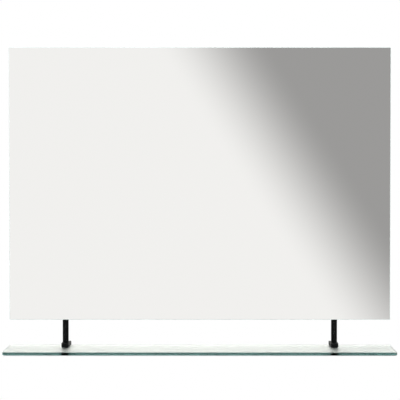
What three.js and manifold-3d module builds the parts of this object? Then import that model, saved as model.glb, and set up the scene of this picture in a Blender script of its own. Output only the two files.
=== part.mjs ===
// A frameless wall mirror with a clear glass shelf below it. The mirror is bonded to a recessed
// aluminium frame that hangs on two wall hooks. Two black posts come down from the frame and end
// in glass clamps, whose jaws hold the shelf near the wall.
// Millimetres. X to the right, Y towards the wall, Z up. The origin is on the wall plane, level
// with the mirror's centre, so everything in front of the wall has a negative Y.
import * as THREE from 'three';
import { mergeVertices } from 'three/addons/utils/BufferGeometryUtils.js';
import Module from 'manifold-3d';

const wasm = await Module();
wasm.setup();

// ---- Driving dimensions ----

const seatGap = 0.3; // left between pieces that touch
const runningGap = 0.15; // round a shaft or a screw in its hole
const drillOverrun = 1; // how far a drill runs past the face it leaves by

const mirrorWidth = 700;
const mirrorHeight = 500;
const mirrorThickness = 5;
const mirrorArris = 0.8; // polished chamfer all round
const mirrorCornerRadius = 1.2;
const mirrorStandOff = 55; // from the wall to the mirror's back

const filmThickness = 0.4; // safety film on the silvering
const filmInset = 1.5;
const tapeThickness = 1; // foam tape that bonds the mirror to its frame
const tapeWidth = 12;

const frameSideInset = 82; // from the mirror's side edge to the frame's side
const frameTopInset = 60; // the frame's top below the mirror's top edge
const frameBottomInset = 76; // the frame's underside above the mirror's lower edge
const railDepth = 40;
const railFlange = 22;
const railWall = 2;

const bracketArm = 46; // angle bracket in each corner of the frame
const bracketThickness = 4;
const bracketDepth = 32;
const bracketBendRadius = 3;

const hangerInset = 68; // from the frame's side to a hanging point
const hangerPlateWidth = 64;
const hangerPlateDrop = 42; // how far the plate reaches below the top rail
const hangerPlateThickness = 2;
const hangerPlateCornerRadius = 5;
const hangerSlotWidth = 38;
const hangerSlotRoof = 19; // from the top rail's lower edge down to the slot's upper edge
const hangerScrewSpacing = 46;
const hangerScrewRadius = 2;
const hangerScrewHeadRadius = 3.8;
const hangerScrewHeadHeight = 2.4;
const hangerScrewLength = 7;

const hookWidth = 24;
const hookThickness = 3;
const hookBendRadius = 2;
const hookLipHeight = 8;
const hookPlay = 1.6; // between the hook's lip and the hanging plate
const hookPlateHeight = 50;
const hookHoleRadius = 2.75;
const hookHoleInset = 10; // from the plate's upper edge to the upper hole
const hookHolePitch = 22;
const liftOffTravel = 12; // how far the mirror is lifted to clear the hooks

const shelfOverhang = 6; // how far the shelf's end reaches past the mirror's edge
const shelfDepth = 120;
const shelfThickness = 6;
const shelfDrop = 52; // from the mirror's lower edge to the shelf's top face
const shelfArris = 0.8;
const shelfFrontCornerRadius = 8;
const shelfRearCornerRadius = 2;

const postInset = 20; // from the frame's side to a post's axis
const postRadius = 5.5;
const postEndChamfer = 0.6;
const postInsertion = 42; // length of the post inside its socket

const socketWall = 2; // in front of the post
const socketMirrorClearance = 0.6;
const socketWidth = 21;
const socketBodyDepth = 20;
const socketCornerRadius = 3;
const socketFloor = 3; // metal above the post's blind bore
const socketLeadIn = 0.8; // chamfer at the bore's mouth
const flangeThickness = 4;
const flangeWidth = 28;
const flangeSetback = 2; // how much shallower the flange is than the rail above it
const flangeScrewSpacing = 17;
const flangeScrewRadius = 2.5;
const flangeScrewHeadRadius = 4.4;
const flangeScrewHeadHeight = 3;
const flangeScrewLength = 12;
const socketGrubRadius = 3;
const socketGrubHeight = 22; // above the socket's lower end

const jawWidth = 13.2;
const jawNose = 16; // from the post's axis to the jaw's front end
const jawFrontThickness = 7.3;
const jawRearThickness = 5.4;
const jawNoseRadius = 2.2;
const clampEdgeRadius = 0.9;
const clampInnerRadius = 0.6;
const spineThickness = 4.8;
const spineCornerRadius = 3;
const lipReach = 18; // how far the lower lip reaches under the glass
const lipRootThickness = 3.2;
const lipTipThickness = 2;
const linerThickness = 0.8; // rubber against the glass
const linerMargin = 0.8; // from the liner's edge to the jaw's edge
const bumperThickness = 1.5; // rubber between the clamp and the wall
const bumperRadius = 4.6;

const postScrewRadius = 2.5;
const postScrewHeadRadius = 4.6;
const postScrewHeadHeight = 2.6;
const postScrewGrip = 12; // length of the screw inside the post
const clampScrewRadius = 2.5;
const clampScrewSetback = 11; // from the shelf's rear edge to the screw's axis
const clampScrewSunk = 0.4; // the screw's end below the jaw's top face
const pressurePadRadius = 4.4;
const pressurePadThickness = 1.2;
const clampScrewTravel = 1.2; // one and a half turns of a 0.8 mm pitch

const hexKeyRadius = 1.45; // of the hexagon sockets, corner to centre
const hexKeyDepth = 2;

// ---- Places that follow from them ----

const mirrorBackY = -mirrorStandOff;
const filmFrontY = mirrorBackY + seatGap;
const filmBackY = filmFrontY + filmThickness;
const tapeFrontY = filmBackY + seatGap;
const railFrontY = tapeFrontY + tapeThickness + seatGap;
const railBackY = railFrontY + railDepth;
const hangerPlateFrontY = railBackY + seatGap;
const hangerPlateBackY = hangerPlateFrontY + hangerPlateThickness;

const frameWidth = mirrorWidth - 2 * frameSideInset;
const hangerX = frameWidth / 2 - hangerInset;
const postX = frameWidth / 2 - postInset;

const mirrorBottomZ = -mirrorHeight / 2;
const frameTopZ = mirrorHeight / 2 - frameTopInset;
const frameBottomZ = mirrorBottomZ + frameBottomInset;
const frameHeight = frameTopZ - frameBottomZ;
const topFlangeEdgeZ = frameTopZ - railFlange;
const hangerScrewZ = frameTopZ - railFlange / 2;
const slotTopZ = topFlangeEdgeZ - hangerSlotRoof;
const hookTongueTopZ = slotTopZ - seatGap;
const slotBottomZ = hookTongueTopZ - hookThickness - liftOffTravel - 2 * seatGap;

const socketFrontY = filmBackY + socketMirrorClearance;
const boreRadius = postRadius + runningGap;
const postY = socketFrontY + socketWall + boreRadius;
const socketTopZ = frameBottomZ - seatGap;
const flangeBottomZ = socketTopZ - flangeThickness;
const boreTopZ = socketTopZ - socketFloor;
const postTopZ = boreTopZ - seatGap;
const socketBottomZ = postTopZ - postInsertion;
const socketBodyBackY = socketFrontY + socketBodyDepth;
const flangeBackY = socketFrontY + railDepth - flangeSetback;
const flangeScrewY = (socketBodyBackY + flangeBackY) / 2;

const glassTopZ = mirrorBottomZ - shelfDrop;
const glassBottomZ = glassTopZ - shelfThickness;
const jawBottomZ = glassTopZ + linerThickness + 2 * seatGap;
const jawTopFrontZ = jawBottomZ + jawFrontThickness;
const jawTopRearZ = jawBottomZ + jawRearThickness;
const postBottomZ = jawTopFrontZ + seatGap;
const lipTopZ = glassBottomZ - linerThickness - 2 * seatGap;
const spineBackY = -bumperThickness - seatGap;
const spineFrontY = spineBackY - spineThickness;
const shelfBackY = spineFrontY - linerThickness - 2 * seatGap;
const shelfWidth = mirrorWidth + 2 * shelfOverhang;
const jawFrontY = postY - jawNose;
const lipFrontY = shelfBackY - lipReach;
const clampScrewY = shelfBackY - clampScrewSetback;

// The jaw's top is level in front of the post and falls towards the spine behind it.
const jawFallStartY = postY + postRadius + seatGap;
const jawTopAtScrewZ = THREE.MathUtils.mapLinear(
  clampScrewY, jawFallStartY, spineFrontY, jawTopFrontZ, jawTopRearZ,
);
const pressurePadBottomZ = glassTopZ + seatGap;
const pressurePadTopZ = pressurePadBottomZ + pressurePadThickness;
const padRecessRadius = pressurePadRadius + 2 * runningGap;
const padRecessTopZ = pressurePadTopZ + clampScrewTravel + seatGap;

// ---- Materials ----

function finish(color, roughness, metalness) {
  return new THREE.MeshStandardMaterial({ color, roughness, metalness });
}
const silveredGlass = finish(0xe6e9ea, 0.03, 1);
const clearGlass = new THREE.MeshStandardMaterial({
  color: 0xd3e6df, roughness: 0.03, metalness: 0, transparent: true, opacity: 0.45,
});
const safetyFilm = finish(0x7d8a86, 0.6, 0);
const foamTape = finish(0x2b2c2e, 0.95, 0);
const aluminium = finish(0xb4b7ba, 0.42, 1);
const zincPlate = finish(0xa4a8aa, 0.38, 1);
const blackPowderCoat = finish(0x141415, 0.42, 0.1);
const blackOxide = finish(0x1b1b1d, 0.35, 0.8);
const blackRubber = finish(0x18181a, 0.9, 0);

// ---- Ways to make a solid ----

const alongX = new THREE.Matrix4().makeBasis(
  new THREE.Vector3(0, 1, 0), new THREE.Vector3(0, 0, 1), new THREE.Vector3(1, 0, 0),
);
const alongMinusY = new THREE.Matrix4().makeBasis(
  new THREE.Vector3(1, 0, 0), new THREE.Vector3(0, 0, 1), new THREE.Vector3(0, -1, 0),
);

// An outline from corners [u, v, radius], each corner rounded by its radius.
function outline(corners) {
  const shape = new THREE.Shape();
  corners.forEach(([u, v, radius = 0], index) => {
    const corner = new THREE.Vector2(u, v);
    const [previousU, previousV] = corners[(index + corners.length - 1) % corners.length];
    const [nextU, nextV] = corners[(index + 1) % corners.length];
    const toPrevious = new THREE.Vector2(previousU, previousV).sub(corner).normalize();
    const toNext = new THREE.Vector2(nextU, nextV).sub(corner).normalize();
    const halfAngle = Math.acos(THREE.MathUtils.clamp(toPrevious.dot(toNext), -1, 1)) / 2;
    const setback = radius / Math.tan(halfAngle);
    const arcStart = corner.clone().addScaledVector(toPrevious, setback);
    const arcEnd = corner.clone().addScaledVector(toNext, setback);
    if (index === 0) shape.moveTo(arcStart.x, arcStart.y);
    else shape.lineTo(arcStart.x, arcStart.y);
    if (radius > 0) shape.quadraticCurveTo(u, v, arcEnd.x, arcEnd.y);
  });
  shape.closePath();
  return shape;
}

function rectangle(lowU, highU, lowV, highV, radius = 0) {
  return outline([
    [lowU, lowV, radius], [highU, lowV, radius], [highU, highV, radius], [lowU, highV, radius],
  ]);
}

// A plate or bar of the outline's section, from 0 to length, with its long edges broken by edge.
function extrude(shape, length, edge = 0, edgeSteps = 1) {
  const geometry = new THREE.ExtrudeGeometry(shape, {
    depth: length - 2 * edge,
    curveSegments: 5,
    bevelEnabled: edge > 0,
    bevelThickness: edge,
    bevelSize: edge,
    bevelOffset: -edge,
    bevelSegments: edgeSteps,
  });
  return geometry.translate(0, 0, edge);
}

// The outline in Y and Z, extruded along X and centred on X = 0.
function acrossX(shape, width, edge, edgeSteps) {
  return extrude(shape, width, edge, edgeSteps).translate(0, 0, -width / 2).applyMatrix4(alongX);
}

// The outline in X and Z, extruded towards the front from the plane Y = backY.
function towardsFront(shape, backY, thickness, edge, edgeSteps) {
  return extrude(shape, thickness, edge, edgeSteps).applyMatrix4(alongMinusY).translate(0, backY, 0);
}

// The outline in X and Y, extruded up from the plane Z = bottomZ.
function upwards(shape, bottomZ, height, edge, edgeSteps) {
  return extrude(shape, height, edge, edgeSteps).translate(0, 0, bottomZ);
}

// A turned piece: profile points [radius, distance] along the line from start towards heading.
function turned(profile, start, heading, sides = 24) {
  const points = profile.map(([radius, distance]) => new THREE.Vector2(radius, distance));
  const turn = new THREE.Quaternion().setFromUnitVectors(
    new THREE.Vector3(0, 1, 0), new THREE.Vector3(...heading),
  );
  return new THREE.LatheGeometry(points, sides).applyQuaternion(turn).translate(...start);
}

// A round drill or rod of one radius.
function rod(radius, start, heading, length, sides = 24) {
  return turned([[0, 0], [radius, 0], [radius, length], [0, length]], start, heading, sides);
}

function toSolid(geometry) {
  const bare = geometry.clone();
  bare.deleteAttribute('normal');
  bare.deleteAttribute('uv');
  const merged = mergeVertices(bare, 1e-4);
  return new wasm.Manifold(new wasm.Mesh({
    numProp: 3,
    vertProperties: Float32Array.from(merged.attributes.position.array),
    triVerts: Uint32Array.from(merged.index.array),
  }));
}

function toGeometry(solid) {
  const { vertProperties, triVerts } = solid.getMesh();
  const geometry = new THREE.BufferGeometry();
  geometry.setAttribute('position', new THREE.BufferAttribute(vertProperties, 3));
  geometry.setIndex(new THREE.BufferAttribute(triVerts, 1));
  geometry.computeVertexNormals();
  return geometry;
}

function cut(body, ...tools) {
  return toGeometry(tools.reduce((solid, tool) => solid.subtract(toSolid(tool)), toSolid(body)));
}

function join(...bodies) {
  return toGeometry(bodies.map(toSolid).reduce((sum, body) => sum.add(body)));
}

function place(parent, name, geometry, material) {
  const mesh = new THREE.Mesh(geometry, material);
  mesh.name = name;
  parent.add(mesh);
  return mesh;
}

const UP = [0, 0, 1];
const DOWN = [0, 0, -1];
const FORWARD = [0, -1, 0];
const sides = [{ name: 'left', sign: -1 }, { name: 'right', sign: 1 }];
const group = new THREE.Group();

// ---- The mirror and what bonds it to its frame ----

place(group, 'mirror_glass', towardsFront(
  rectangle(
    -mirrorWidth / 2, mirrorWidth / 2, mirrorBottomZ, mirrorHeight / 2, mirrorCornerRadius,
  ),
  mirrorBackY, mirrorThickness, mirrorArris,
), silveredGlass);

place(group, 'mirror_safety_film', towardsFront(
  rectangle(
    -mirrorWidth / 2 + filmInset, mirrorWidth / 2 - filmInset,
    mirrorBottomZ + filmInset, mirrorHeight / 2 - filmInset,
  ),
  filmBackY, filmThickness,
), safetyFilm);

// Each strip of tape lies on the middle of its rail's front flange.
const tapeMargin = (railFlange - tapeWidth) / 2;
const tapeBackY = tapeFrontY + tapeThickness;
function tapeStrip(lowX, highX, lowZ, highZ) {
  return towardsFront(rectangle(lowX, highX, lowZ, highZ), tapeBackY, tapeThickness);
}
const acrossTapeHalf = frameWidth / 2 - tapeMargin;
const uprightTapeOuter = frameWidth / 2 - tapeMargin;
const uprightTapeInner = uprightTapeOuter - tapeWidth;
const topTapeZ = frameTopZ - tapeMargin;
const bottomTapeZ = frameBottomZ + tapeMargin;
place(group, 'bond_tape_top',
  tapeStrip(-acrossTapeHalf, acrossTapeHalf, topTapeZ - tapeWidth, topTapeZ), foamTape);
place(group, 'bond_tape_bottom',
  tapeStrip(-acrossTapeHalf, acrossTapeHalf, bottomTapeZ, bottomTapeZ + tapeWidth), foamTape);
const uprightTapeLow = bottomTapeZ + tapeWidth + seatGap;
const uprightTapeHigh = topTapeZ - tapeWidth - seatGap;
place(group, 'bond_tape_left',
  tapeStrip(-uprightTapeOuter, -uprightTapeInner, uprightTapeLow, uprightTapeHigh), foamTape);
place(group, 'bond_tape_right',
  tapeStrip(uprightTapeInner, uprightTapeOuter, uprightTapeLow, uprightTapeHigh), foamTape);

// ---- The recessed frame: four channels, mitred at the corners ----

// A channel whose web is its outer face at Z = 0 and whose flanges point down. Its ends are cut
// back by 45 degrees, and by a little more so that two mitres don't quite meet.
function mitredChannel(length) {
  const section = outline([
    [0, 0], [0, -railFlange], [railWall, -railFlange], [railWall, -railWall],
    [railDepth - railWall, -railWall], [railDepth - railWall, -railFlange],
    [railDepth, -railFlange], [railDepth, 0],
  ]);
  const channel = acrossX(section, length);
  const position = channel.attributes.position;
  const relief = seatGap / Math.SQRT2;
  for (let index = 0; index < position.count; index += 1) {
    const x = position.getX(index);
    position.setX(index, x - Math.sign(x) * (relief - position.getZ(index)));
  }
  return channel;
}

const flangeScrewXs = sides.flatMap(({ sign }) => [-1, 1].map(
  (step) => sign * postX + step * flangeScrewSpacing / 2,
));
const hangerScrewXs = sides.flatMap(({ sign }) => [-1, 1].map(
  (step) => sign * hangerX + step * hangerScrewSpacing / 2,
));

const topRail = cut(
  mitredChannel(frameWidth).translate(0, railFrontY, frameTopZ),
  ...hangerScrewXs.map((x) => rod(
    hangerScrewRadius + runningGap, [x, railBackY + drillOverrun, hangerScrewZ], FORWARD,
    railWall + 2 * drillOverrun, 12,
  )),
);
place(group, 'rail_top', topRail, aluminium);

const bottomRail = cut(
  mitredChannel(frameWidth).rotateY(Math.PI).translate(0, railFrontY, frameBottomZ),
  ...flangeScrewXs.map((x) => rod(
    flangeScrewRadius + runningGap, [x, flangeScrewY, frameBottomZ - drillOverrun], UP,
    railWall + 2 * drillOverrun, 12,
  )),
);
place(group, 'rail_bottom', bottomRail, aluminium);

sides.forEach(({ name, sign }) => {
  const rail = place(group, `rail_${name}`, mitredChannel(frameHeight), aluminium);
  rail.rotation.y = sign * Math.PI / 2;
  rail.position.set(sign * frameWidth / 2, railFrontY, (frameTopZ + frameBottomZ) / 2);
});

// An angle bracket fills each corner of the channels. The lower two are tapped for the screws
// that carry the post sockets.
const bracketBackY = (railFrontY + railBackY + bracketDepth) / 2;
const bracketInset = railWall + seatGap;
sides.forEach(({ name, sign }) => {
  const cornerX = frameWidth / 2 - bracketInset;
  const drills = flangeScrewXs.filter((x) => Math.sign(x) === sign).map((x) => rod(
    flangeScrewRadius + runningGap, [x, flangeScrewY, frameBottomZ], UP,
    bracketInset + bracketThickness + drillOverrun, 12,
  ));
  [{ level: 'top', up: 1, drilled: [] }, { level: 'bottom', up: -1, drilled: drills }].forEach(
    ({ level, up, drilled }) => {
      const cornerZ = (up > 0 ? frameTopZ : frameBottomZ) - up * bracketInset;
      const corners = [
        [0, 0, bracketBendRadius], [-bracketArm, 0], [-bracketArm, -bracketThickness],
        [-bracketThickness, -bracketThickness], [-bracketThickness, -bracketArm], [0, -bracketArm],
      ];
      const flipped = sign * up < 0 ? [...corners].reverse() : corners;
      const angle = outline(flipped.map(([u, v, radius]) => [
        sign * (cornerX + u), cornerZ + up * v, radius,
      ]));
      const bracket = towardsFront(angle, bracketBackY, bracketDepth);
      place(group, `corner_bracket_${level}_${name}`, cut(bracket, ...drilled), aluminium);
    },
  );
});

// ---- Hanging plates on the frame, and the wall hooks that carry them ----

// A cheese-headed screw: the head's top at start, the shank running along heading.
function capScrew(start, heading, shankRadius, headRadius, headHeight, length) {
  const screw = turned([
    [0, 0], [headRadius - 0.4, 0], [headRadius, 0.4], [headRadius, headHeight],
    [shankRadius, headHeight], [shankRadius, headHeight + length - 0.5],
    [shankRadius - 0.5, headHeight + length], [0, headHeight + length],
  ], start, heading, 20);
  return cut(screw, hexSocket(start, heading));
}

function hexSocket(start, heading) {
  const mouth = new THREE.Vector3(...start).addScaledVector(new THREE.Vector3(...heading), -drillOverrun);
  return rod(hexKeyRadius, mouth.toArray(), heading, hexKeyDepth + drillOverrun, 6);
}

sides.forEach(({ name, sign }) => {
  const station = new THREE.Group();
  station.position.x = sign * hangerX;
  group.add(station);

  const plateBottomZ = topFlangeEdgeZ - hangerPlateDrop;
  const plateShape = rectangle(
    -hangerPlateWidth / 2, hangerPlateWidth / 2, plateBottomZ, frameTopZ - seatGap,
    hangerPlateCornerRadius,
  );
  plateShape.holes.push(rectangle(
    -hangerSlotWidth / 2, hangerSlotWidth / 2, slotBottomZ, slotTopZ, 1.5,
  ));
  const screwXs = [-hangerScrewSpacing / 2, hangerScrewSpacing / 2];
  const plate = cut(
    towardsFront(plateShape, hangerPlateBackY, hangerPlateThickness),
    ...screwXs.map((x) => rod(
      hangerScrewRadius + runningGap, [x, hangerPlateBackY + drillOverrun, hangerScrewZ], FORWARD,
      hangerPlateThickness + 2 * drillOverrun, 12,
    )),
  );
  place(station, `hanging_plate_${name}`, plate, zincPlate);

  screwXs.forEach((x, index) => {
    const head = [x, hangerPlateBackY + seatGap + hangerScrewHeadHeight, hangerScrewZ];
    place(station, `hanging_plate_screw_${name}_${index + 1}`, capScrew(
      head, FORWARD, hangerScrewRadius, hangerScrewHeadRadius, hangerScrewHeadHeight,
      hangerScrewLength,
    ), zincPlate);
  });

  // The hook is one strip of steel: a plate on the wall, a tongue out of its lower edge and a lip
  // that turns up in front of the hanging plate.
  const tongueBottomZ = hookTongueTopZ - hookThickness;
  const hookLipBackY = hangerPlateFrontY - hookPlay;
  const hookLipFrontY = hookLipBackY - hookThickness;
  const outerBend = hookBendRadius + hookThickness;
  const hookSection = outline([
    [0, tongueBottomZ + hookPlateHeight, 0.8], [-hookThickness, tongueBottomZ + hookPlateHeight, 0.8],
    [-hookThickness, hookTongueTopZ, hookBendRadius], [hookLipBackY, hookTongueTopZ, 0.8],
    [hookLipBackY, hookTongueTopZ + hookLipHeight, 1.2],
    [hookLipFrontY, hookTongueTopZ + hookLipHeight, 1.2],
    [hookLipFrontY, tongueBottomZ, 2], [0, tongueBottomZ, outerBend],
  ]);
  const upperHoleZ = tongueBottomZ + hookPlateHeight - hookHoleInset;
  const hook = cut(
    acrossX(hookSection, hookWidth),
    ...[upperHoleZ, upperHoleZ - hookHolePitch].map((z) => rod(
      hookHoleRadius, [0, drillOverrun, z], FORWARD, hookThickness + 2 * drillOverrun, 20,
    )),
  );
  place(station, `wall_hook_${name}`, hook, zincPlate);
});

// ---- The glass shelf ----

place(group, 'glass_shelf', upwards(outline([
  [-shelfWidth / 2, shelfBackY - shelfDepth, shelfFrontCornerRadius],
  [shelfWidth / 2, shelfBackY - shelfDepth, shelfFrontCornerRadius],
  [shelfWidth / 2, shelfBackY, shelfRearCornerRadius],
  [-shelfWidth / 2, shelfBackY, shelfRearCornerRadius],
]), glassBottomZ, shelfThickness, shelfArris), clearGlass);

// ---- What carries the shelf, the same on both sides: socket, post and glass clamp ----

// The socket is a casting: an upright body bored for the post, and a flange under the frame.
function postSocket() {
  const body = upwards(
    rectangle(
      -socketWidth / 2, socketWidth / 2, socketFrontY, socketBodyBackY, socketCornerRadius,
    ),
    socketBottomZ, flangeBottomZ + flangeThickness / 2 - socketBottomZ,
  );
  const flange = upwards(
    rectangle(-flangeWidth / 2, flangeWidth / 2, socketFrontY, flangeBackY, socketCornerRadius),
    flangeBottomZ, flangeThickness,
  );
  const rib = acrossX(outline([
    [socketBodyBackY - 1, flangeBottomZ + 1], [socketBodyBackY - 1, flangeBottomZ - 20],
    [socketBodyBackY, flangeBottomZ - 20], [flangeBackY - 3, flangeBottomZ],
    [flangeBackY - 3, flangeBottomZ + 1],
  ]), 4);
  const bore = turned([
    [0, -drillOverrun], [boreRadius + socketLeadIn + drillOverrun, -drillOverrun],
    [boreRadius, socketLeadIn], [boreRadius, boreTopZ - socketBottomZ],
    [0, boreTopZ - socketBottomZ],
  ], [0, postY, socketBottomZ], UP, 32);
  const grubHole = rod(
    socketGrubRadius + runningGap,
    [0, socketBodyBackY + drillOverrun, socketBottomZ + socketGrubHeight], FORWARD,
    socketBodyBackY - postY + drillOverrun, 20,
  );
  const screwHoles = [-1, 1].map((step) => rod(
    flangeScrewRadius + runningGap,
    [step * flangeScrewSpacing / 2, flangeScrewY, flangeBottomZ - drillOverrun], UP,
    flangeThickness + 2 * drillOverrun, 12,
  ));
  return cut(join(body, flange, rib), bore, grubHole, ...screwHoles);
}

// A headless screw with a hexagon socket: its outer end at start, its point along heading.
function grubScrew(start, heading, radius, length) {
  const body = turned([
    [0, 0], [radius - 0.3, 0], [radius, 0.3], [radius, length - 0.8],
    [radius - 0.8, length], [0, length],
  ], start, heading, 20);
  return cut(body, hexSocket(start, heading));
}

// The post is a round bar, drilled from below for the screw that holds the clamp on it.
function post() {
  const length = postTopZ - postBottomZ;
  const bar = turned([
    [0, 0], [postRadius - postEndChamfer, 0], [postRadius, postEndChamfer],
    [postRadius, length - postEndChamfer], [postRadius - postEndChamfer, length], [0, length],
  ], [0, postY, postBottomZ], UP, 32);
  const tapping = rod(
    postScrewRadius + runningGap, [0, postY, postBottomZ - drillOverrun], UP,
    postScrewGrip + 2 * drillOverrun, 20,
  );
  return cut(bar, tapping);
}

// The clamp is one casting with a C-shaped side outline, open towards the front: the upper jaw,
// the spine near the wall and the lip that carries the glass.
function clampBody() {
  const lipBottomZ = lipTopZ - lipRootThickness;
  const section = outline([
    [jawFrontY, jawBottomZ], [spineFrontY, jawBottomZ, clampInnerRadius],
    [spineFrontY, lipTopZ, clampInnerRadius], [lipFrontY, lipTopZ],
    [lipFrontY, lipTopZ - lipTipThickness], [spineFrontY, lipBottomZ],
    [spineBackY, lipBottomZ, spineCornerRadius], [spineBackY, jawTopRearZ, spineCornerRadius],
    [spineFrontY, jawTopRearZ], [jawFallStartY, jawTopFrontZ],
    [jawFrontY, jawTopFrontZ, jawNoseRadius],
  ].reverse());
  const countersink = turned([
    [0, -drillOverrun], [postScrewHeadRadius + runningGap, -drillOverrun],
    [postScrewHeadRadius + runningGap, seatGap], [postScrewRadius + runningGap, postScrewHeadHeight],
    [postScrewRadius + runningGap, jawFrontThickness + drillOverrun],
    [0, jawFrontThickness + drillOverrun],
  ], [0, postY, jawBottomZ], UP, 24);
  const padRecess = rod(
    padRecessRadius, [0, clampScrewY, jawBottomZ - drillOverrun], UP,
    padRecessTopZ - jawBottomZ + drillOverrun, 28,
  );
  const screwHole = rod(
    clampScrewRadius + runningGap, [0, clampScrewY, jawBottomZ], UP,
    jawFrontThickness + drillOverrun, 24,
  );
  return cut(
    acrossX(section, jawWidth, clampEdgeRadius, 2), countersink, padRecess, screwHole,
  );
}

// A flat-headed screw whose cone seats in the clamp and whose shank runs up into the post.
function postScrew() {
  const headBottomZ = jawBottomZ + seatGap;
  const shankTop = postBottomZ + postScrewGrip - headBottomZ;
  const screw = turned([
    [0, 0], [postScrewHeadRadius - seatGap, 0],
    [postScrewRadius - runningGap, postScrewHeadHeight - seatGap],
    [postScrewRadius - runningGap, shankTop], [0, shankTop],
  ], [0, postY, headBottomZ], UP, 24);
  return cut(screw, hexSocket([0, postY, headBottomZ], UP));
}

// The rubber under the front of the upper jaw stops short of the pressure pad's recess.
function jawLiner() {
  const width = jawWidth - 2 * linerMargin;
  const backY = clampScrewY - padRecessRadius - linerMargin;
  return upwards(
    rectangle(-width / 2, width / 2, jawFrontY + linerMargin, backY, 1),
    glassTopZ + seatGap, linerThickness,
  );
}

// An L of rubber: the glass rests on its foot, and its rear edge stops against its back.
function glassSeat() {
  const footTopZ = glassBottomZ - seatGap;
  const footBottomZ = footTopZ - linerThickness;
  const backFrontY = shelfBackY + seatGap;
  const backTopZ = glassTopZ - shelfArris;
  return acrossX(outline([
    [lipFrontY + linerMargin, footBottomZ], [backFrontY + linerThickness, footBottomZ],
    [backFrontY + linerThickness, backTopZ], [backFrontY, backTopZ],
    [backFrontY, footTopZ], [lipFrontY + linerMargin, footTopZ],
  ]), jawWidth - 2 * linerMargin);
}

// A round pad with a dished top, in which the clamp screw's point turns.
function pressurePad() {
  const dish = 0.4;
  return turned([
    [0, 0], [pressurePadRadius - dish, 0], [pressurePadRadius, dish],
    [pressurePadRadius, pressurePadThickness], [clampScrewRadius, pressurePadThickness],
    [0, pressurePadThickness - dish],
  ], [0, clampScrewY, pressurePadBottomZ], UP, 28);
}

sides.forEach(({ name, sign }) => {
  const support = new THREE.Group();
  support.position.x = sign * postX;
  group.add(support);

  place(support, `post_socket_${name}`, postSocket(), blackPowderCoat);
  [-1, 1].forEach((step, index) => {
    const head = [
      step * flangeScrewSpacing / 2, flangeScrewY, flangeBottomZ - seatGap - flangeScrewHeadHeight,
    ];
    place(support, `socket_screw_${name}_${index + 1}`, capScrew(
      head, UP, flangeScrewRadius, flangeScrewHeadRadius, flangeScrewHeadHeight, flangeScrewLength,
    ), zincPlate);
  });
  const grubStart = [0, socketBodyBackY - seatGap, socketBottomZ + socketGrubHeight];
  const grubLength = grubStart[1] - (postY + postRadius + seatGap);
  place(support, `socket_grub_screw_${name}`,
    grubScrew(grubStart, FORWARD, socketGrubRadius, grubLength), blackOxide);

  place(support, `post_${name}`, post(), blackPowderCoat);
  place(support, `post_screw_${name}`, postScrew(), zincPlate);
  place(support, `glass_clamp_${name}`, clampBody(), blackPowderCoat);
  place(support, `jaw_liner_${name}`, jawLiner(), blackRubber);
  place(support, `glass_seat_${name}`, glassSeat(), blackRubber);
  place(support, `pressure_pad_${name}`, pressurePad(), blackRubber);

  const screwTopZ = jawTopAtScrewZ - clampScrewSunk;
  place(support, `clamp_screw_${name}`, grubScrew(
    [0, clampScrewY, screwTopZ], DOWN, clampScrewRadius, screwTopZ - pressurePadTopZ - seatGap,
  ), blackOxide);

  const bumperZ = (jawTopRearZ + lipTopZ) / 2;
  place(support, `wall_bumper_${name}`, turned([
    [0, 0], [bumperRadius - 0.4, 0], [bumperRadius, 0.4], [bumperRadius, bumperThickness],
    [0, bumperThickness],
  ], [0, 0, bumperZ], FORWARD, 28), blackRubber);
});

export default group;
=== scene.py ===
import math

import bmesh
import bpy
from mathutils import Matrix, Vector


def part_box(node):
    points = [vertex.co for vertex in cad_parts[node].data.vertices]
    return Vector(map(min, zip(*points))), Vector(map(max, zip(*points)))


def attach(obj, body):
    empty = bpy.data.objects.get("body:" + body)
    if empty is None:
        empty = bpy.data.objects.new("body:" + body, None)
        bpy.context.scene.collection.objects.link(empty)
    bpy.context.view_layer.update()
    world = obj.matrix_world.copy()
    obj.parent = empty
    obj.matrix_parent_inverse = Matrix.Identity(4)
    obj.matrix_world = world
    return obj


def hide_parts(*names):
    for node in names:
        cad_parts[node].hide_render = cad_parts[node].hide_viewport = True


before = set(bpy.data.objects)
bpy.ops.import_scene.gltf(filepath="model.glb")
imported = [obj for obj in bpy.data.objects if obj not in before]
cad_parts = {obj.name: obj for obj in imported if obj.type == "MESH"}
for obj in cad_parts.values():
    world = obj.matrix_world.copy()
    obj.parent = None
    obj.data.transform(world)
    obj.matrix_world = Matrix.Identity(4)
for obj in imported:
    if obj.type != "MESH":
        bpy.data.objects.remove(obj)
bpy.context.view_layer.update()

# ---- Camera ----
# A long lens 3 m in front of the mirror and 5 cm above its centre, tipped down by 1.6 degrees, so
# the glass shelf shows its top face as a thin bright band above its dark front edge.
camera_data = bpy.data.cameras.new("camera")
camera_data.lens = 143.45
camera_data.sensor_width = 36
camera = bpy.data.objects.new("camera", camera_data)
camera.location = (0.0060, -2.9845, 0.0523)
camera.rotation_euler = (math.radians(90 - 1.607), 0, math.radians(0.111))
bpy.context.scene.collection.objects.link(camera)
bpy.context.scene.camera = camera
bpy.context.scene.view_settings.view_transform = "Standard"

# ---- Wall, floor and a glowing card that the mirror reflects ----
# A white wall behind the hooks, a pale floor 1.45 m below the mirror's centre, and far in front
# a glowing card that shows only in mirror and glass: near white, with a soft grey band across it
# as a painted reflection.
WHITE = (1, 1, 1, 1)


def new_material(name):
    material = bpy.data.materials.new(name)
    material.use_nodes = True
    tree = material.node_tree
    tree.nodes.clear()
    tree.nodes.new("ShaderNodeOutputMaterial").name = "output"
    return material, tree


def add_node(tree, kind, values=None, **settings):
    node = tree.nodes.new(kind)
    for key, value in settings.items():
        setattr(node, key, value)
    for key, value in (values or {}).items():
        node.inputs[key].default_value = value
    return node


def feed(tree, source, target):
    tree.links.new(source, target)


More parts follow.
